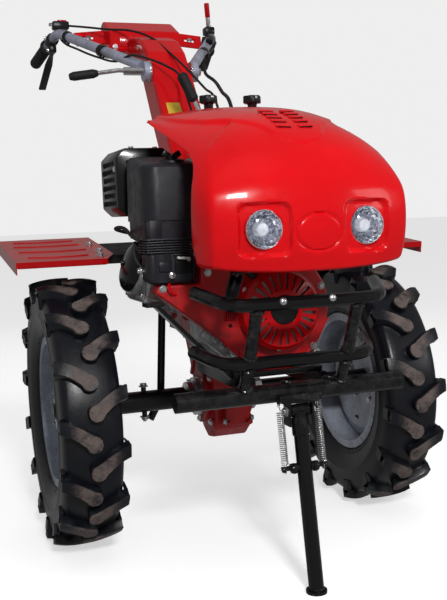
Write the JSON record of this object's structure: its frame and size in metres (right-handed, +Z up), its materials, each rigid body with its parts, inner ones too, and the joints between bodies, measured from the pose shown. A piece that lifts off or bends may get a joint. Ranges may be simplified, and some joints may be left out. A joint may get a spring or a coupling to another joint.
{
  "type": "walking tractor",
  "caption": "Two-wheel walking tractor with hooded engine, front tube guard, folding front stand, side fenders and tilting handlebars.",
  "frame": {"origin": "on the ground under the middle of the machine's bounding box, the lowest points of the tyres and of the stand's foot at z = 0", "axes": "+Z up, +X towards the left wheel as the operator sees it, +Y towards the handlebars, so that the front faces -Y"},
  "size_m": [0.944, 1.4144, 1.3517],
  "materials": {
    "black_paint": "gloss black paint, scuffed",
    "black_plastic": "smooth black plastic",
    "cast_aluminium": "cast, dull",
    "handle_paint": "pale grey paint",
    "lamp_glass": "clear ribbed lens",
    "red_paint": "gloss red paint",
    "rim_paint": "light grey paint",
    "rubber": "matt black rubber",
    "tyre": "matt black rubber",
    "zinc": "zinc plated"
  },
  "bodies": {
    "chassis": {"air_cleaner": "black_plastic", "carburettor_cover": "black_plastic", "clamp_lever": "zinc", "clamp_lever_grip": "rubber", "clamp_nut": "zinc", "console": "red_paint", "cylinder_head": "cast_aluminium", "engine_block": "cast_aluminium", "engine_frame": "black_paint", "fan_shroud": "red_paint", "fuel_tank": "black_paint", "gear_lever": "zinc", "gear_lever_grip": "rubber", "gearbox_cap": "red_paint", "gearbox_case": "red_paint", "guard_crossbar": "black_paint", "guard_lower_bar": "black_paint", "guard_upper_bar": "black_paint", "handlebar_column": "red_paint", "hitch_pin": "zinc", "hood": "red_paint", "hood_bracket": "black_paint", "left_axle_collar": "zinc", "left_fender": "red_paint", "left_fender_bracket": "black_paint", "left_guard_post": "black_paint", "left_guard_stay": "black_paint", "left_headlight": "lamp_glass", "left_hood_knob": "black_plastic", "muffler": "black_paint", "rear_hitch": "black_paint", "recoil_starter": "red_paint", "right_axle_collar": "zinc", "right_fender": "red_paint", "right_fender_bracket": "black_paint", "right_frame_brace": "black_paint", "right_guard_post": "black_paint", "right_guard_stay": "black_paint", "right_headlight": "lamp_glass", "right_hood_knob": "black_plastic", "side_rod": "black_paint", "stand_bracket": "black_paint", "valve_cover": "black_paint"},
    "right_wheel": {"right_tyre": "tyre", "right_rim": "rim_paint", "right_hub_tube": "black_paint"},
    "left_wheel": {"left_tyre": "tyre", "left_rim": "rim_paint", "left_hub_tube": "black_paint"},
    "stand": {"stand_leg": "black_paint", "right_stand_spring": "zinc", "left_stand_spring": "zinc"},
    "handlebars": {"left_grip": "rubber", "left_hand_lever": "red_paint", "left_handlebar": "handle_paint", "right_grip": "rubber", "right_hand_lever": "black_plastic", "right_handlebar": "handle_paint"}
  },
  "joints": [
    {"name": "right_wheel_spin", "type": "hinge", "parent": "chassis", "child": "right_wheel", "pos_m": [-0.358, -0.14617, 0.2925], "axis": [1, 0, 0], "continuous": true},
    {"name": "left_wheel_spin", "type": "hinge", "parent": "chassis", "child": "left_wheel", "pos_m": [0.358, -0.14617, 0.2925], "axis": [1, 0, 0], "continuous": true},
    {"name": "stand_fold", "type": "hinge", "parent": "chassis", "child": "stand", "pos_m": [0, -0.58817, 0.336], "axis": [1, 0, 0], "range_deg": [0, 80]},
    {"name": "handlebar_tilt", "type": "hinge", "parent": "chassis", "child": "handlebars", "pos_m": [0, 0.17183, 1.086], "axis": [1, 0, 0], "range_deg": [-12, 12]}
  ]
}
